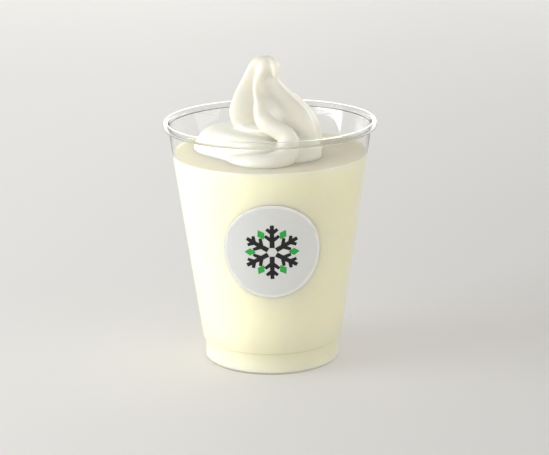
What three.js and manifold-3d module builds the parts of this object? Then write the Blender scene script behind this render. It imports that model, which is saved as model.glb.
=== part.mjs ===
// Clear cup of milk with a soft serve swirl standing in it, and a round label on the wall.
// Millimetres, +Z up, the label faces -Y, the origin is the middle of the base.
import * as THREE from 'three';
import { mergeVertices } from 'three/addons/utils/BufferGeometryUtils.js';
import Module from 'manifold-3d';

const wasm = await Module();
wasm.setup();
const { Manifold } = wasm;

// ---- driving dimensions ---------------------------------------------------

const cupHeight = 113;           // table to the top of the rim
const cupSegments = 72;          // sides of the round parts
const wall = 0.6;                // thickness of the cup
const skirtRadius = 31.5;        // straight band at the foot
const footRound = 1.2;           // rounding under the skirt
const standingRing = 28.6;       // inner edge of the ring the cup stands on
const basePanel = 0.8;           // underside of the raised base
const shoulderLow = 9.9;         // the wall steps out here...
const shoulderHigh = 10.9;       // ...and its taper starts here
const wallFootRadius = 32.67;    // outside of the taper at the shoulder
const wallTopRadius = 46.57;     // outside of the taper under the rim
const wallTop = 110.2;
const rimRadius = 49;            // outside of the rolled rim
const rimRound = 1.3;

const gap = 0.3;                 // clearance between pieces that touch
const milkLevel = 97.6;
const swirlBottom = 94;          // the swirl sits this deep in the milk

const labelRadius = 22.5;
const labelThickness = 0.2;
const labelCentre = { x: 0.3, z: 61.2 };
const labelRings = 5;
const labelSegments = 40;

// The peak: height, middle of the section (x, y) and radius over the ridges.
const lobes = 6;
const firstRidge = -162;         // direction of the left ridge, degrees
const valleyShape = 1.15;        // above 1 the valleys are wider than the ridges
const grooveDepth = 0.3;         // of the radius
const grooveBias = 0.9;          // deeper towards the left front, shallower behind
const biasAngle = -130;
const waistTwist = 8;            // the ridges wind back this far below the waist
const footTwist = 40;            // turn of the front ridge where it spreads at the foot
const rightSpread = 20;          // the ridge on the right stands this much further round
const lift = { size: 7, highAt: -115, lowAt: -35, holdTo: 0.32, from: 104, to: 130 };
const tipLean = 30;
const peakStations = [
  { z: 91.0, x: 4.4, y: 2.2, r: 16.0 },
  { z: 98.0, x: 4.4, y: 1.9, r: 16.5 },
  { z: 102.0, x: 4.2, y: 1.4, r: 17.6 },
  { z: 104.2, x: 3.8, y: 0.8, r: 20.0 },
  { z: 106.6, x: 3.4, y: 0.3, r: 21.3 },
  { z: 110.0, x: 2.9, y: -0.4, r: 21.9 },
  { z: 114.0, x: 2.2, y: -0.8, r: 21.5 },
  { z: 118.2, x: 1.0, y: -1.0, r: 19.8 },
  { z: 122.4, x: -0.8, y: -1.0, r: 16.8 },
  { z: 126.8, x: -3.4, y: -0.8, r: 12.6 },
  { z: 131.4, x: -4.2, y: -0.6, r: 9.2 },
  { z: 135.4, x: -2.8, y: -0.6, r: 8.0 },
  { z: 138.2, x: -1.2, y: -0.8, r: 7.2 },
  { z: 139.9, x: 0.4, y: -1.0, r: 5.6 },
  { z: 141.2, x: 1.2, y: -1.1, r: 3.2 },
  { z: 141.8, x: 1.4, y: -1.1, r: 0.5 },
];
const peakRings = 42;
const peakSegments = 54;

// The curl: the end of the tip folds over and hangs down at the front right, a crease beside it.
const curlStations = [
  { x: 0.4, y: -2.8, z: 140.0, r: 2.6 },
  { x: 1.9, y: -5.2, z: 139.5, r: 2.1 },
  { x: 2.6, y: -6.3, z: 137.6, r: 1.9 },
  { x: 2.6, y: -6.6, z: 135.6, r: 1.6 },
  { x: 2.4, y: -6.5, z: 134.2, r: 1.1 },
  { x: 2.2, y: -6.3, z: 133.3, r: 0.5 },
];
const curlRings = 10;
const curlSegments = 14;

// The front ridge's foot: it runs to the right under the peak, curls down and comes back
// to the left as the lower edge of the coil.
const foldStations = [
  { x: -4.0, y: -11.0, z: 124.5, r: 3.0 },
  { x: -3.5, y: -15.4, z: 119.4, r: 3.8 },
  { x: -2.2, y: -18.2, z: 115.8, r: 4.0 },
  { x: 1.7, y: -19.4, z: 112.9, r: 3.9 },
  { x: 6.4, y: -19.9, z: 110.2, r: 4.3 },
  { x: 8.5, y: -21.0, z: 106.5, r: 4.8 },
  { x: 8.1, y: -23.8, z: 103.2, r: 4.8 },
  { x: 5.6, y: -26.4, z: 100.6, r: 4.6 },
  { x: 0.0, y: -28.0, z: 98.8, r: 4.6 },
  { x: -6.5, y: -27.0, z: 98.2, r: 4.5 },
  { x: -12.5, y: -22.6, z: 97.6, r: 4.0 },
  { x: -17.0, y: -16.8, z: 97.0, r: 2.8 },
  { x: -19.0, y: -12.0, z: 96.6, r: 0.5 },
];
const foldRings = 34;
const foldSegments = 20;

// The coil: turn in degrees, reach from the axis, half width, half height, height.
const coilStations = [
  { turn: -5, reach: 20.0, wide: 8.4, high: 7.5, z: 96.0 },
  { turn: -20, reach: 25.0, wide: 10.0, high: 9.6, z: 97.8 },
  { turn: -38, reach: 27.2, wide: 11.0, high: 10.8, z: 98.2 },
  { turn: -58, reach: 27.0, wide: 11.0, high: 10.8, z: 98.4 },
  { turn: -78, reach: 24.4, wide: 9.2, high: 9.4, z: 98.3 },
  { turn: -96, reach: 26.6, wide: 11.6, high: 10.8, z: 98.5 },
  { turn: -112, reach: 27.6, wide: 13.4, high: 11.8, z: 98.6 },
  { turn: -130, reach: 26.6, wide: 13.8, high: 12.3, z: 98.6 },
  { turn: -150, reach: 27.0, wide: 14.2, high: 12.4, z: 98.6 },
  { turn: -165, reach: 29.4, wide: 15.8, high: 12.3, z: 98.6 },
  { turn: -180, reach: 33.6, wide: 18.2, high: 12.0, z: 98.6 },
  { turn: -197, reach: 37.2, wide: 20.0, high: 11.8, z: 98.6 },
  { turn: -218, reach: 37.0, wide: 19.6, high: 11.4, z: 98.6 },
  { turn: -242, reach: 34.6, wide: 18.0, high: 10.8, z: 98.6 },
  { turn: -270, reach: 31.0, wide: 15.6, high: 10.2, z: 98.4 },
  { turn: -315, reach: 27.0, wide: 12.4, high: 9.4, z: 98.0 },
  { turn: -348, reach: 22.0, wide: 10.6, high: 8.0, z: 97.0 },
];
const coilInner = 0.72;          // its hidden inner side, as a share of the way to the middle
const coilRings = 46;
const coilSegments = 30;
const coilGroove = 0.12;
const coilRoll = 50;             // direction of its top ridge, degrees
const coilFade = 0.6;            // its grooves fade by this share towards the left

// ---- small helpers --------------------------------------------------------

const rad = THREE.MathUtils.degToRad;
const smooth = (low, high, x) => THREE.MathUtils.smoothstep(x, low, high);

// Catmull-Rom values between the stations, every key of a station alike.
function between(stations, count) {
  const keys = Object.keys(stations[0]);
  const last = stations.length - 1;
  const mirror = (a, b) => Object.fromEntries(keys.map((k) => [k, 2 * a[k] - b[k]]));
  const row = [mirror(stations[0], stations[1]), ...stations,
    mirror(stations[last], stations[last - 1])];
  return Array.from({ length: count }, (_, i) => {
    const s = (i / (count - 1)) * last;
    const j = Math.min(Math.floor(s), last - 1);
    const u = s - j;
    const blend = (k) => {
      const [a, b, c, d] = [row[j][k], row[j + 1][k], row[j + 2][k], row[j + 3][k]];
      return 0.5 * (2 * b + (c - a) * u + (2 * a - 5 * b + 4 * c - d) * u * u
        + (-a + 3 * b - 3 * c + d) * u ** 3);
    };
    return Object.fromEntries(keys.map((k) => [k, blend(k)]));
  });
}

// A closed skin over rings of equal length, with a fan at each end.
function loft(rings) {
  const count = rings[0].length;
  const points = rings.flat();
  const middle = (ring) => ring.reduce((sum, p) => sum.add(p), new THREE.Vector3())
    .divideScalar(count);
  const first = points.push(middle(rings[0])) - 1;
  const end = points.push(middle(rings[rings.length - 1])) - 1;
  const index = [];
  for (let k = 0; k < rings.length - 1; k++) {
    for (let i = 0; i < count; i++) {
      const a = k * count + i;
      const b = k * count + ((i + 1) % count);
      const across = points[a].distanceTo(points[b + count]);
      const back = points[b].distanceTo(points[a + count]);
      if (across < back) index.push(a, b, b + count, a, b + count, a + count);
      else index.push(a, b, a + count, b, b + count, a + count);
    }
  }
  const top = (rings.length - 1) * count;
  for (let i = 0; i < count; i++) {
    const j = (i + 1) % count;
    index.push(first, j, i, end, top + i, top + j);
  }
  const geometry = new THREE.BufferGeometry().setFromPoints(points);
  geometry.setIndex(index);
  return geometry;
}

// A body turned round the Z axis from a closed outline of [radius, z].
function turned(outline, segments = cupSegments) {
  const shape = outline.map(([r, z]) => new THREE.Vector2(Math.max(r, 0), z));
  const geometry = new THREE.LatheGeometry(shape, segments);
  return geometry.rotateX(Math.PI / 2);
}

function toSolid(geometry) {
  geometry.deleteAttribute('normal');
  geometry.deleteAttribute('uv');
  const merged = mergeVertices(geometry, 1e-4);
  const index = Array.from(merged.index.array);
  const kept = [];
  for (let i = 0; i < index.length; i += 3) {
    const [a, b, c] = index.slice(i, i + 3);
    if (a !== b && b !== c && c !== a) kept.push(a, b, c);
  }
  const solid = new Manifold(new wasm.Mesh({
    numProp: 3,
    vertProperties: new Float32Array(merged.attributes.position.array),
    triVerts: new Uint32Array(kept),
  }));
  return solid;
}

function toGeometry(solid) {
  const mesh = solid.getMesh();
  const geometry = new THREE.BufferGeometry();
  geometry.setAttribute('position', new THREE.Float32BufferAttribute(mesh.vertProperties, 3));
  geometry.setIndex(Array.from(mesh.triVerts));
  return geometry;
}

// An arc of [radius, z] pairs round a middle point, angles in degrees.
function arc(r, z, size, from, to, steps) {
  return Array.from({ length: steps + 1 }, (_, i) => {
    const a = rad(from + ((to - from) * i) / steps);
    return [r + size * Math.cos(a), z + size * Math.sin(a)];
  });
}

// ---- cup ------------------------------------------------------------------

const wallSlope = (wallTopRadius - wallFootRadius) / (wallTop - shoulderHigh);
const wallRadius = (z) => wallFootRadius + wallSlope * (z - shoulderHigh);

function cup() {
  const rimMiddle = rimRadius - rimRound;
  const inner = wallRadius(cupHeight) - wall;
  const outline = [
    [0, basePanel], [standingRing - 1.0, basePanel], [standingRing, 0],
    ...arc(skirtRadius - footRound, footRound, footRound, -90, 0, 4),
    [skirtRadius, shoulderLow], [wallFootRadius, shoulderHigh],
    [wallTopRadius, wallTop],
    [rimMiddle, cupHeight - 2 * rimRound],
    ...arc(rimMiddle, cupHeight - rimRound, rimRound, -60, 90, 5),
    [inner + 0.5, cupHeight], [inner, cupHeight - 0.6],
    [wallRadius(shoulderHigh) - wall, shoulderHigh + 0.1],
    [skirtRadius - wall, shoulderLow - 0.1],
    [skirtRadius - wall, basePanel + wall + 1.0], [skirtRadius - wall - 1.0, basePanel + wall],
    [0, basePanel + wall], [0, basePanel],
  ];
  return toSolid(turned(outline));
}

// ---- soft serve -----------------------------------------------------------

// Six soft ridges: 1 on a ridge, 1 - groove in a valley.
const ridge = (angle, groove, sharp) => 1 - groove * (1
  - (0.5 + 0.5 * Math.cos(lobes * angle)) ** sharp);

// How high the foot of the peak lies on each side: 1 at the left front, -1 at the right.
function liftAt(degrees) {
  const past = (((degrees - lift.highAt) % 360) + 360) % 360;
  const right = lift.lowAt - lift.highAt;
  return Math.cos(Math.PI * (past < right ? smooth(lift.holdTo, 1, past / right)
    : (360 - past) / (360 - right)));
}

function peak(grow) {
  const rings = between(peakStations, peakRings).map(({ x, y, z, r }) => {
    const lean = rad(tipLean * smooth(132, 141, z));
    const rise = lift.size * (1 - smooth(lift.from, lift.to, z));
    const twist = (footTwist + waistTwist) * (1 - smooth(103, 108.5, z))
      - waistTwist * (1 - smooth(114, 128, z));
    const depth = grooveDepth * smooth(103.5, 107, z) * (1 - smooth(130, 144, z));
    return Array.from({ length: peakSegments }, (_, i) => {
      const turn = (i / peakSegments) * 2 * Math.PI;
      const from = firstRidge + (i / peakSegments) * 360;
      const spread = rightSpread * smooth(-102, -42, from) * (1 - smooth(-42, 78, from));
      const swing = twist * smooth(-150, -100, from) * (1 - smooth(120, 190, from));
      const a = rad(from + spread + swing);
      const groove = depth * (1 + grooveBias * Math.cos(a - rad(biasAngle)));
      const size = Math.max(r, 0.3) * ridge(turn, groove, valleyShape) + grow;
      return new THREE.Vector3(x + size * Math.cos(a) * Math.cos(lean), y + size * Math.sin(a),
        z - size * Math.cos(a) * Math.sin(lean) + rise * liftAt(from + spread + swing));
    });
  });
  return toSolid(loft(rings));
}

// A round strand along a path, each ring square to it.
function strand(stations, count, segments, grow) {
  const path = between(stations, count);
  const rings = path.map(({ x, y, z, r }, k) => {
    const last = path[Math.max(k - 1, 0)];
    const next = path[Math.min(k + 1, count - 1)];
    const ahead = new THREE.Vector3(next.x - last.x, next.y - last.y, next.z - last.z).normalize();
    const across = new THREE.Vector3(0, 1, 0).cross(ahead).normalize();
    const along = ahead.clone().cross(across);
    const size = Math.max(r, 0.3) + grow;
    return Array.from({ length: segments }, (_, i) => {
      const a = (i / segments) * 2 * Math.PI;
      return new THREE.Vector3(x, y, z).addScaledVector(across, size * Math.cos(a))
        .addScaledVector(along, size * Math.sin(a));
    });
  });
  return toSolid(loft(rings));
}

function coil(grow) {
  const rings = between(coilStations, coilRings).map((s, k) => {
    const part = k / (coilRings - 1);
    const groove = coilGroove * smooth(0.05, 0.3, part)
      * (1 - coilFade * smooth(0.4, 0.65, part));
    const out = new THREE.Vector3(Math.cos(rad(s.turn)), Math.sin(rad(s.turn)), 0);
    return Array.from({ length: coilSegments }, (_, i) => {
      const a = (i / coilSegments) * 2 * Math.PI;
      const size = ridge(a - rad(coilRoll), groove, 1);
      const wide = Math.cos(a) > 0 ? s.wide : Math.min(s.wide, coilInner * (s.reach - s.wide));
      return out.clone()
        .multiplyScalar(s.reach - s.wide + (wide + grow) * size * Math.cos(a))
        .setZ(s.z + (s.high + grow) * size * Math.sin(a));
    });
  });
  return toSolid(loft(rings));
}

function swirl(grow = 0) {
  const below = toSolid(turned([[0, 60], [60, 60], [60, swirlBottom - grow],
    [0, swirlBottom - grow], [0, 60]], 24));
  return peak(grow).add(coil(grow)).add(strand(curlStations, curlRings, curlSegments, 0))
    .add(strand(foldStations, foldRings, foldSegments, grow)).subtract(below);
}

// ---- milk -----------------------------------------------------------------

function milk() {
  const floor = basePanel + wall + gap;
  const edge = (z) => wallRadius(z) - wall - gap;
  const body = toSolid(turned([
    [0, floor], [skirtRadius - wall - gap - 1.0, floor], [skirtRadius - wall - gap, floor + 1.0],
    [skirtRadius - wall - gap, shoulderLow], [edge(shoulderHigh + 0.4), shoulderHigh + 0.4],
    [edge(milkLevel), milkLevel], [0, milkLevel], [0, floor],
  ]));
  return body.subtract(swirl(gap));
}

// ---- label ----------------------------------------------------------------

function label() {
  const slant = Math.atan(wallSlope);
  const turn = labelCentre.x / wallRadius(labelCentre.z);
  const point = (r, a, off) => {
    const z = labelCentre.z + r * Math.sin(a) * Math.cos(slant);
    const round = wallRadius(z);
    const angle = -Math.PI / 2 + turn + (r * Math.cos(a)) / round;
    return new THREE.Vector3(Math.cos(angle), Math.sin(angle), 0)
      .multiplyScalar(round + off * Math.cos(slant)).setZ(z - off * Math.sin(slant));
  };
  const rings = [];
  const ringAt = (r, off) => Array.from({ length: labelSegments },
    (_, i) => point(r, (i / labelSegments) * 2 * Math.PI, off));
  for (let k = 1; k <= labelRings; k++) rings.push(ringAt((labelRadius * k) / labelRings, gap));
  for (let k = labelRings; k >= 1; k--) {
    rings.push(ringAt((labelRadius * k) / labelRings, gap + labelThickness));
  }
  return toSolid(loft(rings));
}

// ---- the part -------------------------------------------------------------

const part = new THREE.Group();
part.name = 'soft_serve_cup';

function place(name, solid, look) {
  const mesh = new THREE.Mesh(toGeometry(solid), new THREE.MeshStandardMaterial(look));
  mesh.name = name;
  part.add(mesh);
}

place('cup', cup(), { color: 0xe8eef0, roughness: 0.08, transparent: true, opacity: 0.35 });
place('milk_drink', milk(), { color: 0xf0ead2, roughness: 0.3 });
place('soft_serve_swirl', swirl(), { color: 0xf6f3e2, roughness: 0.45 });
place('round_label', label(), { color: 0xdcdcda, roughness: 0.5 });

export default part;
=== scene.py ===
import math

import bmesh
import bpy
import numpy as np
from mathutils import Matrix, Vector


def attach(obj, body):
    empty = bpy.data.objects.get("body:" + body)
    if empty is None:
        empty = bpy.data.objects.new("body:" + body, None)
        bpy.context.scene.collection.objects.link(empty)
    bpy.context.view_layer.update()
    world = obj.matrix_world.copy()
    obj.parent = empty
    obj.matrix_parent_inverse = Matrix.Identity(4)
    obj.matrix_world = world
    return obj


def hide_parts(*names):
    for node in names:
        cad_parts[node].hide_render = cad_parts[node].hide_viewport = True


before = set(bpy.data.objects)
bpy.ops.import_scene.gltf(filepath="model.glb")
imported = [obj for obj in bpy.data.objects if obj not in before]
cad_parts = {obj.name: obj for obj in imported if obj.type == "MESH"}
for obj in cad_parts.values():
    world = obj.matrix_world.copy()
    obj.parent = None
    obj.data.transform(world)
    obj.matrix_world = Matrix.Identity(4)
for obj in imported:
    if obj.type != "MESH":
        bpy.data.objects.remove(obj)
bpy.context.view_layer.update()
mm = 0.001
print("cup, milk, swirl and label loaded from the packed part")


# points in millimetres, scaled to metres here
def addPiece(name, points, faces, material):
    mesh = bpy.data.meshes.new(name)
    mesh.from_pydata([tuple(c * mm for c in p) for p in points], [], faces)
    mesh.update()
    bm = bmesh.new()
    bm.from_mesh(mesh)
    bmesh.ops.recalc_face_normals(bm, faces=bm.faces)
    bm.to_mesh(mesh)
    bm.free()
    piece = bpy.data.objects.new(name, mesh)
    bpy.context.scene.collection.objects.link(piece)
    if material:
        mesh.materials.append(material)
    for face in mesh.polygons:
        face.use_smooth = True
    return piece


# Catmull-Rom values through rows of stations
def between(stations, count):
    rows = np.array(stations, float)
    rows = np.vstack([2 * rows[0] - rows[1], rows, 2 * rows[-1] - rows[-2]])
    last = len(stations) - 1
    found = []
    for i in range(count):
        s = i / (count - 1) * last
        j = min(int(s), last - 1)
        u = s - j
        a, b, c, d = rows[j:j + 4]
        found.append(0.5 * (2 * b + (c - a) * u + (2 * a - 5 * b + 4 * c - d) * u ** 2
                            + (-a + 3 * b - 3 * c + d) * u ** 3))
    return found


def smooth(low, high, x):
    t = min(max((x - low) / (high - low), 0), 1)
    return t * t * (3 - 2 * t)


# skin over rings of equal length, a fan at each end
def loftFaces(rings):
    count = len(rings[0])
    points = [p for ring in rings for p in ring]
    faces = []
    for k in range(len(rings) - 1):
        for i in range(count):
            a, b = k * count + i, k * count + (i + 1) % count
            faces.append((a, b, b + count, a + count))
    top = (len(rings) - 1) * count
    points += [np.mean(rings[0], 0), np.mean(rings[-1], 0)]
    first, end = len(points) - 2, len(points) - 1
    for i in range(count):
        j = (i + 1) % count
        faces += [(first, j, i), (end, top + i, top + j)]
    return points, faces


# body turned round Z from an outline of (radius, z) that starts and ends on the axis
def turned(name, outline, steps, material):
    angles = [2 * math.pi * i / steps for i in range(steps)]
    rings = [[(r * math.cos(a), r * math.sin(a), z) for a in angles]
             for r, z in outline if r > 0.001]
    points, faces = loftFaces(rings)
    points[-2] = (0, 0, outline[0][1])
    points[-1] = (0, 0, outline[-1][1])
    return addPiece(name, points, faces, material)


# arc of an outline, round the middle (r, z), from one angle to another in degrees
def arc(r, z, size, start, end, steps):
    angles = [math.radians(start + (end - start) * i / steps) for i in range(steps + 1)]
    return [(r + size * math.cos(a), z + size * math.sin(a)) for a in angles]


def join(name, pieces):
    bpy.ops.object.select_all(action="DESELECT")
    for piece in pieces:
        piece.select_set(True)
    bpy.context.view_layer.objects.active = pieces[0]
    bpy.ops.object.join()
    pieces[0].name = name
    return pieces[0]


def applyModifiers(piece):
    bpy.ops.object.select_all(action="DESELECT")
    piece.select_set(True)
    bpy.context.view_layer.objects.active = piece
    bpy.ops.object.convert(target="MESH")


# small helpers for the node trees
def newLook(name):
    material = bpy.data.materials.new(name)
    material.use_nodes = True
    tree = material.node_tree
    return material, tree, tree.nodes["Principled BSDF"]


def addNode(tree, kind, inputs=None, **settings):
    node = tree.nodes.new("ShaderNode" + kind)
    for key, value in settings.items():
        setattr(node, key, value)
    for key, value in (inputs or {}).items():
        if isinstance(value, bpy.types.NodeSocket):
            tree.links.new(value, node.inputs[key])
        else:
            node.inputs[key].default_value = value
    return node


def noiseValue(tree, scale, detail):
    place = addNode(tree, "TexCoord").outputs["Object"]
    return addNode(tree, "TexNoise", {"Vector": place, "Scale": scale,
                                      "Detail": detail}).outputs["Fac"]


# without limits of its own the value is noise, which lies mostly between 0.3 and 0.7
def mapped(tree, value, low, high, fromLow=0.3, fromHigh=0.7):
    node = addNode(tree, "MapRange", {"Value": value, "From Min": fromLow,
                                      "From Max": fromHigh, "To Min": low, "To Max": high})
    return node.outputs["Result"]


def blended(tree, value, first, second):
    node = addNode(tree, "Mix", {"Factor": value}, data_type="RGBA")
    node.inputs["A"].default_value = (*first, 1)
    node.inputs["B"].default_value = (*second, 1)
    return node.outputs["Result"]


def bump(tree, shader, height, strength, distance):
    node = addNode(tree, "Bump", {"Height": height, "Strength": strength,
                                  "Distance": distance})
    tree.links.new(node.outputs["Normal"], shader.inputs["Normal"])


# one camera for the whole scene, fitted to the cup's ellipses in the photograph
view = {
    "distance": 0.77957,
    "height": 0.27819,
    "pitch": 0.2711,
    "yaw": 0.0020,
    "roll": -0.0121,
    "focalPixels": 1739.5,
    "imageWidth": 549,
    "sensor": 36.0,
}


def setCamera():
    cosP, sinP = math.cos(view["pitch"]), math.sin(view["pitch"])
    cosY, sinY = math.cos(view["yaw"]), math.sin(view["yaw"])
    cosR, sinR = math.cos(view["roll"]), math.sin(view["roll"])
    ahead = Vector((sinY * cosP, cosY * cosP, -sinP))
    level = Vector((cosY, -sinY, 0))
    upright = level.cross(ahead)
    right = level * cosR + upright * sinR
    up = upright * cosR - level * sinR
    data = bpy.data.cameras.new("camera")
    data.sensor_width = view["sensor"]
    data.lens = view["focalPixels"] / view["imageWidth"] * view["sensor"]
    camera = bpy.data.objects.new("camera", data)
    bpy.context.scene.collection.objects.link(camera)
    place = Matrix((right, up, -ahead)).transposed().to_4x4()
    place.translation = (0, -view["distance"], view["height"])
    camera.matrix_world = place
    bpy.context.scene.camera = camera


setCamera()
print("camera set")

# cup: clear plastic with a rolled rim, a straight skirt and a slightly raised base
cupValues = {
    "height": 113.0,
    "wall": 0.4,
    "wallRows": 8,
    "steps": 256,
    "skirtRadius": 31.5,
    "footRound": 1.2,
    "standingRing": 28.6,
    "ringWide": 1.4,
    "ringLean": 0.2,
    "ringRound": 0.4,
    "basePanel": 0.8,
    "innerRound": 1.0,
    "shoulderLow": 9.9,
    "shoulderHigh": 10.9,
    "shoulderEase": 0.1,
    "creaseRound": 0.2,
    "stepRound": 0.5,
    "wallFootRadius": 32.67,
    "wallTopRadius": 46.57,
    "wallTop": 110.2,
    "rimRadius": 49.0,
    "rimRound": 1.3,
    "rimWall": 0.3,
    "rimDrop": 0.8,  # straight band on the outside of the curl
    "tint": (0.985, 0.99, 0.985),
    # painted shade: the rolled rim is tinted a little greyer than the wall to tone the bright
    # bead down
    "rimShadeTint": (0.955, 0.96, 0.955),
    # painted shade: the shoulder crease is tinted darker and warmer to draw a dark line there
    "creaseShadeTint": (0.80, 0.765, 0.66),
    "lampTint": (0.97, 0.975, 0.97),
    "roughness": (0.012, 0.032),
    "ior": 1.48,
    "gloss": 0.5,
    "rimIor": 1.2,
    "rimGloss": 0.35,
    "flowScale": 55.0,
    "flowBump": 0.06,
    "flowDepth": 0.0004,
}
wallSlope = ((cupValues["wallTopRadius"] - cupValues["wallFootRadius"])
             / (cupValues["wallTop"] - cupValues["shoulderHigh"]))


def wallRadius(z):
    return cupValues["wallFootRadius"] + wallSlope * (z - cupValues["shoulderHigh"])


def clearPlastic(name, tint, ior, gloss):
    c = cupValues
    material, tree, shader = newLook(name)
    shader.inputs["Base Color"].default_value = (*tint, 1)
    shader.inputs["Transmission Weight"].default_value = 1.0
    shader.inputs["IOR"].default_value = ior
    shader.inputs["Specular IOR Level"].default_value = gloss
    flow = noiseValue(tree, c["flowScale"], 2)
    tree.links.new(mapped(tree, flow, *c["roughness"]), shader.inputs["Roughness"])
    bump(tree, shader, flow, c["flowBump"], c["flowDepth"])
    # lamps shine through the thin wall
    lamps = addNode(tree, "LightPath").outputs["Is Shadow Ray"]
    through = addNode(tree, "BsdfTransparent", {"Color": (*c["lampTint"], 1)})
    mix = addNode(tree, "MixShader", {0: lamps, 1: shader.outputs["BSDF"],
                                      2: through.outputs["BSDF"]})
    tree.links.new(mix.outputs["Shader"], tree.nodes["Material Output"].inputs["Surface"])
    return material


def makeCup():
    c = cupValues
    wall, rows, ease = c["wall"], c["wallRows"], c["shoulderEase"]
    ring, crease, step = c["ringRound"], c["creaseRound"], c["stepRound"]
    skirtInner = c["skirtRadius"] - wall
    floor = c["basePanel"] + wall
    outline = [(0, c["basePanel"]), (c["standingRing"] - c["ringWide"], c["basePanel"])]
    outline += arc(c["standingRing"] - c["ringLean"] - ring, c["basePanel"] - ring, ring,
                   90, 0, 4)
    outline += [(c["standingRing"], 0)]
    outline += arc(c["skirtRadius"] - c["footRound"], c["footRound"], c["footRound"],
                   -90, 0, 10)
    outline += arc(c["skirtRadius"] + crease, c["shoulderLow"] - crease, crease, 180, 110, 4)
    outline += arc(c["wallFootRadius"] - step, c["shoulderHigh"] + ease, step, -60, 0, 5)
    outline += [(wallRadius(c["wallTop"] * k / rows), c["wallTop"] * k / rows)
                for k in range(2, rows + 1)]
    # the wall curls over outwards and its end tucks in under the rim
    rimMiddle = c["rimRadius"] - c["rimRound"]
    rimHigh = c["height"] - c["rimRound"]
    rimLow = rimHigh - c["rimDrop"]
    rimInner = c["rimRound"] - c["rimWall"]
    outline += arc(rimMiddle, rimHigh, rimInner, 190, 0, 18)
    outline += arc(rimMiddle, rimLow, rimInner, 0, -140, 14)
    outline += arc(rimMiddle, rimLow, c["rimRound"], -140, 0, 14)
    outline += arc(rimMiddle, rimHigh, c["rimRound"], 0, 180, 20)
    outline += [(wallRadius(c["wallTop"] * k / rows) - wall, c["wallTop"] * k / rows)
                for k in range(rows, 1, -1)]
    outline += [(wallRadius(c["shoulderHigh"]) - wall, c["shoulderHigh"] + 2 * ease),
                (skirtInner, c["shoulderLow"] - ease)]
    outline += arc(skirtInner - c["innerRound"], floor + c["innerRound"], c["innerRound"],
                   0, -90, 8)
    outline += [(0, floor)]
    cup = turned("cup_clear", outline, c["steps"],
                 clearPlastic("clear_plastic", c["tint"], c["ior"], c["gloss"]))
    # the rim's look carries painted shade, a greyer tint than the wall
    cup.data.materials.append(clearPlastic("clear_rim_shade", c["rimShadeTint"], c["rimIor"],
                                           c["rimGloss"]))
    # the third look is painted shade, a darker tint along the shoulder crease
    cup.data.materials.append(clearPlastic("clear_crease_shade", c["creaseShadeTint"], c["ior"],
                                           c["gloss"]))
    for face in cup.data.polygons:
        z = face.center.z / mm
        reach = math.hypot(face.center.x, face.center.y) / mm
        if z > c["wallTop"]:
            face.material_index = 1
        elif c["shoulderLow"] < z < c["shoulderHigh"] and reach > c["skirtRadius"]:
            face.material_index = 2
    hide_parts("cup")
    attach(cup, "root")


makeCup()
print("clear cup turned")

# milk: fills the cup up to its level, and reaches just into the wall
milkValues = {
    "level": 97.6,
    "intoWall": 0.12,
    "footRound": 0.4,
    "meniscus": 0.7,
    "meniscusWide": 2.2,
    "meniscusCurve": 2.4,
    "meniscusSteps": 8,
    "topRings": 10,
    "steps": 192,
    "topMargin": 0.05,  # the open surface starts this far below the level
    "topTilt": 0.3,  # and faces upwards by at least this much
    "cream": (0.95, 0.89, 0.675),
    "pale": (0.965, 0.91, 0.72),
    "gloss": 0.2,
    # painted shade: the open top of the milk is coloured darker and warmer than its sides
    "shadedTopCream": (0.85, 0.775, 0.575),
    "shadedTopPale": (0.88, 0.81, 0.625),
    "topGloss": 0.01,
    "roughness": (0.176, 0.286),
    "ior": 1.35,
    "scatter": 0.012,
    "scatterWeight": 0.85,
    "scatterRadius": (1.0, 0.85, 0.5),
    "driftScale": 18.0,
    "rippleScale": 90.0,
    "rippleBump": 0.12,
    "rippleDepth": 0.0005,
}


def milkFinish(name, cream, pale, gloss):
    m = milkValues
    material, tree, shader = newLook(name)
    drift = noiseValue(tree, m["driftScale"], 3)
    tree.links.new(blended(tree, mapped(tree, drift, 0, 1), cream, pale),
                   shader.inputs["Base Color"])
    tree.links.new(mapped(tree, drift, *m["roughness"]), shader.inputs["Roughness"])
    shader.inputs["Subsurface Weight"].default_value = m["scatterWeight"]
    shader.inputs["Subsurface Radius"].default_value = m["scatterRadius"]
    shader.inputs["Subsurface Scale"].default_value = m["scatter"]
    shader.inputs["Specular IOR Level"].default_value = gloss
    shader.inputs["IOR"].default_value = m["ior"]
    bump(tree, shader, noiseValue(tree, m["rippleScale"], 2), m["rippleBump"],
         m["rippleDepth"])
    return material


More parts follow.
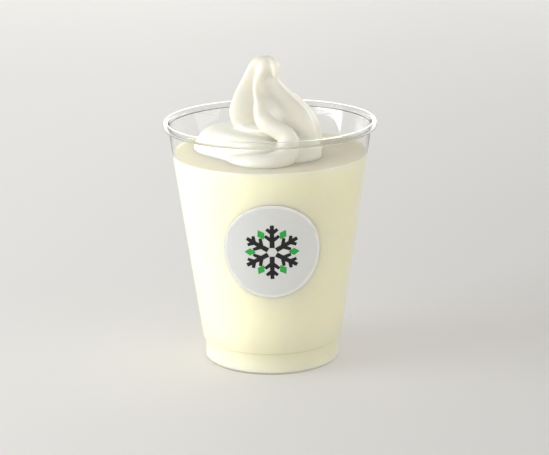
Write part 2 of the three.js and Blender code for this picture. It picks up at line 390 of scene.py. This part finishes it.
def makeMilk():
    c, m = cupValues, milkValues
    level, rows, count = m["level"], c["wallRows"], m["meniscusSteps"]
    inset = c["wall"] - m["intoWall"]
    skirtInner = c["skirtRadius"] - inset
    floor = c["basePanel"] + c["wall"] - m["intoWall"]
    edge = wallRadius(level) - inset
    outline = [(0, floor)]
    outline += arc(skirtInner - m["footRound"], floor + m["footRound"], m["footRound"],
                   -90, 0, 6)
    outline += [(skirtInner, c["shoulderLow"]),
                (wallRadius(c["shoulderHigh"]) - inset, c["shoulderHigh"])]
    outline += [(wallRadius(level * k / rows) - inset, level * k / rows)
                for k in range(2, rows + 1)]
    outline += [(edge, level + m["meniscus"])]
    for k in range(1, count + 1):  # the edge climbs the wall a little
        climb = m["meniscus"] * (1 - k / count) ** m["meniscusCurve"]
        outline.append((edge - m["meniscusWide"] * k / count, level + climb))
    outline += [(edge * k / m["topRings"], level) for k in range(m["topRings"] - 1, 0, -1)]
    outline += [(0, level)]
    milk = turned("milk_fill", outline, m["steps"],
                  milkFinish("milk", m["cream"], m["pale"], m["gloss"]))
    # the upward faces of the top get the darker painted shade copy of the milk
    milk.data.materials.append(milkFinish("milk_top_shade", m["shadedTopCream"], m["shadedTopPale"],
                                          m["topGloss"]))
    for face in milk.data.polygons:
        if face.center.z > (level - m["topMargin"]) * mm and face.normal.z > m["topTilt"]:
            face.material_index = 1
    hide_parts("milk_drink")
    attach(milk, "root")


makeMilk()
print("milk filled")

# soft serve: a coil, a ridged peak with a curled tip, and a fold that joins peak and coil
swirlValues = {
    "bottom": 94.0,
    "thinnest": 0.3,
    "voxel": 0.5,
    "relax": 5,
    "relaxFactor": 0.5,
    # the ridged peak: z, x, y, radius
    "peak": [
        (91.0, 4.4, 2.2, 16.0), (98.0, 4.4, 1.9, 16.5), (102.0, 4.2, 1.4, 17.6),
        (104.2, 3.8, 0.8, 20.0), (106.6, 3.4, 0.3, 21.3), (110.0, 2.9, -0.4, 21.9),
        (114.0, 2.2, -0.8, 21.5), (118.2, 1.0, -1.0, 19.8), (122.4, -0.8, -1.0, 16.8),
        (126.8, -3.4, -0.8, 12.6), (131.4, -4.2, -0.6, 9.2), (135.4, -2.8, -0.6, 8.0),
        (138.2, -1.2, -0.8, 7.2), (139.9, 0.4, -1.0, 5.6), (141.2, 1.2, -1.1, 3.2),
        (141.8, 1.4, -1.1, 0.5),
    ],
    "peakMesh": (150, 108),  # rings, and points on each
    "lobes": 6,
    "firstRidge": -162,
    "valleyShape": 1.15,
    "grooveDepth": 0.3,
    "grooveStart": (103.5, 107),
    "grooveEnd": (130, 144),
    "grooveBias": 0.9,
    "biasAngle": -130,
    "waistTwist": 8,
    "waistBetween": (114, 128),
    "footTwist": 40,
    "footBetween": (103, 108.5),
    "twistTurns": (-150, -100, 120, 190),  # degrees, all ridges but the left one wind
    "rightSpread": 20,
    "spreadTurns": (-102, -42, 78),  # degrees, the middle one moves on the most
    "lift": 7,
    "liftBetween": (104, 130),
    "liftHighAt": -115,
    "liftLowAt": -35,
    "liftHoldTo": 0.32,
    "tipLean": 30,
    "tipBetween": (132, 141),
    # the end of the tip hangs down at its front right: x, y, z, radius
    "curl": [
        (0.4, -2.8, 140.0, 2.6), (1.9, -5.2, 139.5, 2.1), (2.6, -6.3, 137.6, 1.9),
        (2.6, -6.6, 135.6, 1.6), (2.4, -6.5, 134.2, 1.1), (2.2, -6.3, 133.3, 0.5),
    ],
    "curlMesh": (30, 28),
    # the front ridge's foot runs right, curls down and comes back under: x, y, z, radius
    "fold": [
        (-4.0, -11.0, 124.5, 3.0), (-3.5, -15.4, 119.4, 3.8), (-2.2, -18.2, 115.8, 4.0),
        (1.7, -19.4, 112.9, 3.9), (6.4, -19.9, 110.2, 4.3), (8.5, -21.0, 106.5, 4.8),
        (8.1, -23.8, 103.2, 4.8), (5.6, -26.4, 100.6, 4.6), (0.0, -28.0, 98.8, 4.6),
        (-6.5, -27.0, 98.2, 4.5), (-12.5, -22.6, 97.6, 4.0), (-17.0, -16.8, 97.0, 2.8),
        (-19.0, -12.0, 96.6, 0.5),
    ],
    "foldMesh": (120, 56),
    # the coil: turn in degrees, reach, half width, half height, z
    "coil": [
        (-5, 20.0, 8.4, 7.5, 96.0), (-20, 25.0, 10.0, 9.6, 97.8),
        (-38, 27.2, 11.0, 10.8, 98.2), (-58, 27.0, 11.0, 10.8, 98.4),
        (-78, 24.4, 9.2, 9.4, 98.3), (-96, 26.6, 11.6, 10.8, 98.5),
        (-112, 27.6, 13.4, 11.8, 98.6), (-130, 26.6, 13.8, 12.3, 98.6),
        (-150, 27.0, 14.2, 12.4, 98.6), (-165, 29.4, 15.8, 12.3, 98.6),
        (-180, 33.6, 18.2, 12.0, 98.6), (-197, 37.2, 20.0, 11.8, 98.6),
        (-218, 37.0, 19.6, 11.4, 98.6), (-242, 34.6, 18.0, 10.8, 98.6),
        (-270, 31.0, 15.6, 10.2, 98.4), (-315, 27.0, 12.4, 9.4, 98.0),
        (-348, 22.0, 10.6, 8.0, 97.0),
    ],
    "coilMesh": (220, 72),
    "coilInner": 0.72,
    "coilGroove": 0.12,
    "coilGrooveStart": (0.05, 0.3),  # parts of the coil's length
    "coilGrooveFade": (0.4, 0.65),
    "coilFade": 0.6,
    "coilRoll": 50,
    "cream": (0.765, 0.747, 0.665),
    "pale": (0.80, 0.787, 0.715),
    "roughness": (0.323, 0.456),
    "ior": 1.35,
    "scatter": 0.0035,
    "scatterWeight": 0.7,
    "scatterRadius": (1.0, 0.85, 0.6),
    "cloudScale": 60.0,
    "grainScale": 900.0,
    "grainBump": 0.05,
    "grainDepth": 0.0003,
}


def ridge(angle, groove, sharp):
    return 1 - groove * (1 - (0.5 + 0.5 * math.cos(swirlValues["lobes"] * angle)) ** sharp)


# how high the foot of the peak lies on each side: 1 at the left front, -1 at the right front
def liftAt(degrees):
    s = swirlValues
    past = (degrees - s["liftHighAt"]) % 360
    right = s["liftLowAt"] - s["liftHighAt"]
    return math.cos(math.pi * (smooth(s["liftHoldTo"], 1, past / right)
                               if past < right else (360 - past) / (360 - right)))


def peakRings(count, steps):
    s = swirlValues
    spreadFrom, spreadMost, spreadTo = s["spreadTurns"]
    windFrom, windFull, windHold, windTo = s["twistTurns"]
    rings = []
    for z, x, y, r in between(s["peak"], count):
        lean = math.radians(s["tipLean"] * smooth(*s["tipBetween"], z))
        rise = s["lift"] * (1 - smooth(*s["liftBetween"], z))
        twist = ((s["footTwist"] + s["waistTwist"]) * (1 - smooth(*s["footBetween"], z))
                 - s["waistTwist"] * (1 - smooth(*s["waistBetween"], z)))
        depth = (s["grooveDepth"] * smooth(*s["grooveStart"], z)
                 * (1 - smooth(*s["grooveEnd"], z)))
        ring = []
        for i in range(steps):
            angle = s["firstRidge"] + 360 * i / steps
            angle += (s["rightSpread"] * smooth(spreadFrom, spreadMost, angle)
                      * (1 - smooth(spreadMost, spreadTo, angle))
                      + twist * smooth(windFrom, windFull, angle)
                      * (1 - smooth(windHold, windTo, angle)))
            a = math.radians(angle)
            groove = depth * (1 + s["grooveBias"] * math.cos(a - math.radians(s["biasAngle"])))
            size = max(r, s["thinnest"]) * ridge(2 * math.pi * i / steps, groove,
                                                 s["valleyShape"])
            ring.append((x + size * math.cos(a) * math.cos(lean), y + size * math.sin(a),
                         z - size * math.cos(a) * math.sin(lean) + rise * liftAt(angle)))
        rings.append(ring)
    return rings


# a round strand along a path, each ring square to it
def strandRings(stations, count, steps):
    path = [np.array(row) for row in between(stations, count)]
    angles = [2 * math.pi * i / steps for i in range(steps)]
    rings = []
    for k, (x, y, z, r) in enumerate(path):
        ahead = (path[min(k + 1, count - 1)] - path[max(k - 1, 0)])[:3]
        ahead /= np.linalg.norm(ahead)
        across = np.cross((0, 1, 0), ahead)
        across /= np.linalg.norm(across)
        along = np.cross(ahead, across)
        size = max(r, swirlValues["thinnest"])
        rings.append([np.array((x, y, z)) + size * (math.cos(a) * across
                                                    + math.sin(a) * along)
                      for a in angles])
    return rings


def coilRings(count, steps):
    s = swirlValues
    rings = []
    for k, (turn, reach, wide, high, z) in enumerate(between(s["coil"], count)):
        part = k / (count - 1)
        groove = (s["coilGroove"] * smooth(*s["coilGrooveStart"], part)
                  * (1 - s["coilFade"] * smooth(*s["coilGrooveFade"], part)))
        out = np.array((math.cos(math.radians(turn)), math.sin(math.radians(turn)), 0))
        ring = []
        for i in range(steps):
            a = 2 * math.pi * i / steps
            size = ridge(a - math.radians(s["coilRoll"]), groove, 1)
            half = wide if math.cos(a) > 0 else min(wide, s["coilInner"] * (reach - wide))
            ring.append(out * (reach - wide + half * size * math.cos(a))
                        + np.array((0, 0, z + high * size * math.sin(a))))
        rings.append(ring)
    return rings


def softServeFinish():
    s = swirlValues
    material, tree, shader = newLook("soft_serve")
    cloud = noiseValue(tree, s["cloudScale"], 4)
    tree.links.new(blended(tree, mapped(tree, cloud, 0, 1), s["cream"], s["pale"]),
                   shader.inputs["Base Color"])
    tree.links.new(mapped(tree, cloud, *s["roughness"]), shader.inputs["Roughness"])
    shader.inputs["Subsurface Weight"].default_value = s["scatterWeight"]
    shader.inputs["Subsurface Radius"].default_value = s["scatterRadius"]
    shader.inputs["Subsurface Scale"].default_value = s["scatter"]
    shader.inputs["IOR"].default_value = s["ior"]
    bump(tree, shader, noiseValue(tree, s["grainScale"], 2), s["grainBump"], s["grainDepth"])
    return material


def makeSwirl():
    s = swirlValues
    strands = (("peak", peakRings(*s["peakMesh"])),
               ("curl", strandRings(s["curl"], *s["curlMesh"])),
               ("fold", strandRings(s["fold"], *s["foldMesh"])),
               ("coil", coilRings(*s["coilMesh"])))
    parts = [addPiece(name, *loftFaces(rings), None) for name, rings in strands]
    swirl = join("swirl", parts)
    remesh = swirl.modifiers.new("one skin", "REMESH")
    remesh.mode = "VOXEL"
    remesh.voxel_size = s["voxel"] * mm
    relax = swirl.modifiers.new("soft edges", "SMOOTH")
    relax.factor = s["relaxFactor"]
    relax.iterations = s["relax"]
    applyModifiers(swirl)
    # cut flat below the milk's surface, and closed there
    bm = bmesh.new()
    bm.from_mesh(swirl.data)
    cut = bmesh.ops.bisect_plane(bm, geom=bm.verts[:] + bm.edges[:] + bm.faces[:],
                                 plane_co=(0, 0, s["bottom"] * mm), plane_no=(0, 0, -1),
                                 clear_outer=True)
    rim = [e for e in cut["geom_cut"] if isinstance(e, bmesh.types.BMEdge)]
    bmesh.ops.holes_fill(bm, edges=rim)
    bm.to_mesh(swirl.data)
    bm.free()
    swirl.data.materials.clear()
    swirl.data.materials.append(softServeFinish())
    for face in swirl.data.polygons:
        face.use_smooth = True
    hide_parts("soft_serve_swirl")
    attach(swirl, "root")
    return swirl


swirl = makeSwirl()
print("soft serve swirled,", len(swirl.data.polygons), "faces")

# label: a round film on the front wall, with a pale border
labelValues = {
    "radius": 22.5,
    "borderWide": 1.5,
    "thickness": 0.16,
    "off": 0.06,
    "x": 0.3,
    "z": 61.2,
    "rings": 24,
    "steps": 144,
    "ringGap": 0.3,
    "borderStep": 0.05,  # a narrow ring where the border starts
    "borderMargin": 0.02,
    "edgeSlant": 0.08,
    "film": (0.60, 0.605, 0.59),
    "filmShades": (0.96, 1.05),
    "filmRoughness": (0.378, 0.483),
    "border": (0.70, 0.70, 0.67),
    "borderShade": 0.95,
    "borderRoughness": (0.25, 0.4),
    "borderScale": 300.0,
    "fibreScale": 350.0,
    "fibreTone": (0.35, 0.65),
    "fibreBump": 0.08,
    "fibreDepth": 0.0002,
}


# a point on the wall, s round it and t up it from the label's middle
def onWall(s, t, off):
    slant = math.atan(wallSlope)
    z = labelValues["z"] + t * math.cos(slant)
    r = wallRadius(z)
    a = -math.pi / 2 + labelValues["x"] / wallRadius(labelValues["z"]) + s / r
    reach = r + off * math.cos(slant)
    return (reach * math.cos(a), reach * math.sin(a), z - off * math.sin(slant))


def filmFinish():
    d = labelValues
    material, tree, shader = newLook("label_film")
    fibre = noiseValue(tree, d["fibreScale"], 4)
    dark, light = [tuple(v * shade for v in d["film"]) for shade in d["filmShades"]]
    tree.links.new(blended(tree, mapped(tree, fibre, *d["fibreTone"]), dark, light),
                   shader.inputs["Base Color"])
    tree.links.new(mapped(tree, fibre, *d["filmRoughness"]), shader.inputs["Roughness"])
    bump(tree, shader, fibre, d["fibreBump"], d["fibreDepth"])
    return material


def borderFinish():
    d = labelValues
    material, tree, shader = newLook("label_border")
    fibre = noiseValue(tree, d["borderScale"], 3)
    dark = tuple(v * d["borderShade"] for v in d["border"])
    tree.links.new(blended(tree, mapped(tree, fibre, 0, 1), dark, d["border"]),
                   shader.inputs["Base Color"])
    tree.links.new(mapped(tree, fibre, *d["borderRoughness"]), shader.inputs["Roughness"])
    return material


def makeLabel():
    d = labelValues
    inner = d["radius"] - d["borderWide"]
    reaches = [d["radius"] * k / d["rings"] for k in range(1, d["rings"])]
    reaches = [r for r in reaches if r < inner - d["ringGap"]]
    reaches += [inner, inner + d["borderStep"], (inner + d["radius"]) / 2]
    angles = [2 * math.pi * i / d["steps"] for i in range(d["steps"])]

    def ringAt(reach, off):
        return [onWall(reach * math.cos(a), reach * math.sin(a), off) for a in angles]

    under = [ringAt(r, d["off"]) for r in reaches + [d["radius"]]]
    over = [ringAt(r, d["off"] + d["thickness"])
            for r in [d["radius"] - d["edgeSlant"]] + reaches[::-1]]
    label = addPiece("label_film", *loftFaces(under + over), filmFinish())
    label.data.materials.append(borderFinish())
    middle = Vector(onWall(0, 0, 0)) * mm
    for face in label.data.polygons:
        if (face.center - middle).length > (inner + d["borderMargin"]) * mm:
            face.material_index = 1
    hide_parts("round_label")
    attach(label, "root")


makeLabel()
print("label stuck on")

# print: a generic snow crystal in dark ink, with a green diamond between its arms
crystalValues = {
    "arms": 6,
    "armFrom": 2.08,
    "armTo": 13.0,
    "armWidth": 2.3,
    "barTaper": 0.75,
    "barParts": 6,
    "twigAt": (5.4, 9.2),
    "twigAngle": 52,
    "twigLength": 5.29,
    "twigShrink": 0.23,  # shorter by this much for each millimetre up the arm
    "twigWidth": 1.9,
    "diamondAt": 9.792,
    "diamondLong": 2.6,
    "diamondWide": 1.8,
    "diamondParts": 8,
    "inkLift": 0.05,
    "ink": (0.008, 0.008, 0.01),
    "leaf": (0.02, 0.30, 0.05),
    "palerBy": (1.25, 0.006),
    "roughness": (0.5, 0.65),
    "gloss": 0.25,
    "speckScale": 500.0,
}


def inkFinish(name, colour):
    s = crystalValues
    material, tree, shader = newLook(name)
    speck = noiseValue(tree, s["speckScale"], 3)
    times, plus = s["palerBy"]
    paler = tuple(v * times + plus for v in colour)
    tree.links.new(blended(tree, mapped(tree, speck, 0, 1), colour, paler),
                   shader.inputs["Base Color"])
    tree.links.new(mapped(tree, speck, *s["roughness"]), shader.inputs["Roughness"])
    shader.inputs["Specular IOR Level"].default_value = s["gloss"]
    return material


# a thin patch of ink that follows the label, from four corners in label millimetres
def inkPatch(corners, parts):
    lift = labelValues["off"] + labelValues["thickness"] + crystalValues["inkLift"]
    (ax, ay), (bx, by), (cx, cy), (dx, dy) = corners
    points, faces = [], []
    for i in range(parts + 1):
        u = i / parts
        left = (ax + (dx - ax) * u, ay + (dy - ay) * u)
        right = (bx + (cx - bx) * u, by + (cy - by) * u)
        points += [onWall(*left, lift), onWall(*right, lift)]
        if i:
            k = 2 * i
            faces.append((k - 2, k - 1, k + 1, k))
    return points, faces


def bar(start, angle, length, width):
    ux, uy = math.cos(angle), math.sin(angle)
    px, py = -uy, ux
    x, y = start
    ex, ey = x + ux * length, y + uy * length
    w, v = width / 2, width * crystalValues["barTaper"] / 2
    return inkPatch([(x - px * w, y - py * w), (x + px * w, y + py * w),
                     (ex + px * v, ey + py * v), (ex - px * v, ey - py * v)],
                    crystalValues["barParts"])


def diamond(angle):
    s = crystalValues
    ux, uy = math.cos(angle), math.sin(angle)
    cx, cy = ux * s["diamondAt"], uy * s["diamondAt"]
    lx, ly = ux * s["diamondLong"], uy * s["diamondLong"]
    wx, wy = -uy * s["diamondWide"], ux * s["diamondWide"]
    return inkPatch([(cx - lx, cy - ly), (cx - wx, cy - wy), (cx + lx, cy + ly),
                     (cx + wx, cy + wy)], s["diamondParts"])


def makeCrystal():
    s = crystalValues
    patches, greens = [], []
    for k in range(s["arms"]):
        a = math.pi / 2 + 2 * math.pi * k / s["arms"]
        ux, uy = math.cos(a), math.sin(a)
        patches.append(bar((ux * s["armFrom"], uy * s["armFrom"]), a,
                           s["armTo"] - s["armFrom"], s["armWidth"]))
        for at in s["twigAt"]:
            for way in (-1, 1):
                patches.append(bar((ux * at, uy * at), a + way * math.radians(s["twigAngle"]),
                                   s["twigLength"] - s["twigShrink"] * at, s["twigWidth"]))
        greens.append(diamond(a + math.pi / s["arms"]))
    for name, group, colour in (("ink_dark", patches, s["ink"]),
                                ("ink_green", greens, s["leaf"])):
        points, faces = [], []
        for patchPoints, patchFaces in group:
            faces += [tuple(i + len(points) for i in f) for f in patchFaces]
            points += patchPoints
        piece = addPiece("label_" + name, points, faces, inkFinish(name, colour))
        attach(piece, "root")


makeCrystal()
print("snow crystal printed")

# a floor, not part of the object, painted lighter at the left and darker at the right as
# painted shade, and glowing as painted light
floorValues = {
    "halfWidth": 5.0,
    # painted shade: lighter on the lit left, darker on the right, blended across x
    "left": (0.60, 0.587, 0.572),
    "right": (0.48, 0.466, 0.452),
    "blendFrom": -0.15,
    "blendTo": 0.25,
    "mottleScale": 4.0,
    "mottle": 0.06,
    "roughness": 0.8,
    # painted light: the floor glows, more towards the back, though it is no lamp
    "glowNear": 0.24,
    "glowFar": 0.52,
    "glowFrom": 0.1,  # metres behind the cup
    "glowTo": 1.6,
    "glowTint": (1.0, 0.985, 0.96),
}


def makeFloor():
    f = floorValues
    w = f["halfWidth"]
    material, tree, shader = newLook("table_top")
    spot = addNode(tree, "NewGeometry").outputs["Position"]
    place = addNode(tree, "SeparateXYZ", {"Vector": spot})
    across = addNode(tree, "MapRange", {"Value": place.outputs["X"],
                                        "From Min": f["blendFrom"], "From Max": f["blendTo"]},
                     interpolation_type="SMOOTHSTEP")
    mottle = mapped(tree, noiseValue(tree, f["mottleScale"], 3), -f["mottle"], f["mottle"])
    both = addNode(tree, "Math", {0: across.outputs["Result"], 1: mottle})
    tree.links.new(blended(tree, both.outputs["Value"], f["left"], f["right"]),
                   shader.inputs["Base Color"])
    shader.inputs["Roughness"].default_value = f["roughness"]
    # painted light: the floor's glow
    shader.inputs["Emission Color"].default_value = (*f["glowTint"], 1)
    tree.links.new(mapped(tree, place.outputs["Y"], f["glowNear"], f["glowFar"],
                          f["glowFrom"], f["glowTo"]), shader.inputs["Emission Strength"])
    mesh = bpy.data.meshes.new("floor")
    mesh.from_pydata([(-w, -w, 0), (w, -w, 0), (w, w, 0), (-w, w, 0)], [], [(0, 1, 2, 3)])
    mesh.materials.append(material)
    floor = bpy.data.objects.new("floor", mesh)
    bpy.context.scene.collection.objects.link(floor)


# soft window light from the left and a sky that is bright low down and darker above
lightValues = {
    "keyPlace": (-0.86, -0.20, 0.31),
    "keyAim": (0, 0, 0.09),
    "keyWide": 0.62,
    "keyTall": 0.56,
    "keyPower": 5.5,
    "keyColour": (0.93, 0.965, 1.0),
    "skyLow": 2.1,
    "skyHigh": 0.24,
    "skyFrom": 0.05,  # of the way up, where the sky starts to darken
    "skyTo": 0.7,
    "skyLeft": 0.9,
    "skyRight": 1.29,
    "skyTint": (1.0, 0.988, 0.958),
}


def setLight():
    s = lightValues
    data = bpy.data.lights.new("key", "AREA")
    data.shape = "RECTANGLE"
    data.size = s["keyWide"]
    data.size_y = s["keyTall"]
    data.energy = s["keyPower"]
    data.color = s["keyColour"]
    lamp = bpy.data.objects.new("key", data)
    bpy.context.scene.collection.objects.link(lamp)
    lamp.location = s["keyPlace"]
    aim = Vector(s["keyAim"]) - Vector(s["keyPlace"])
    lamp.rotation_euler = aim.to_track_quat("-Z", "Y").to_euler()
    world = bpy.data.worlds.new("studio")
    world.use_nodes = True
    bpy.context.scene.world = world
    tree = world.node_tree
    toward = addNode(tree, "SeparateXYZ",
                     {"Vector": addNode(tree, "TexCoord").outputs["Generated"]})
    level = mapped(tree, toward.outputs["Z"], s["skyLow"], s["skyHigh"], s["skyFrom"],
                   s["skyTo"])
    side = mapped(tree, toward.outputs["X"], s["skyLeft"], s["skyRight"], -1.0, 1.0)
    both = addNode(tree, "Math", {0: level, 1: side}, operation="MULTIPLY")
    sky = tree.nodes["Background"]
    sky.inputs["Color"].default_value = (*s["skyTint"], 1)
    tree.links.new(both.outputs["Value"], sky.inputs["Strength"])
    bpy.context.scene.view_settings.view_transform = "Standard"


makeFloor()
setLight()
print("floor and lights placed")
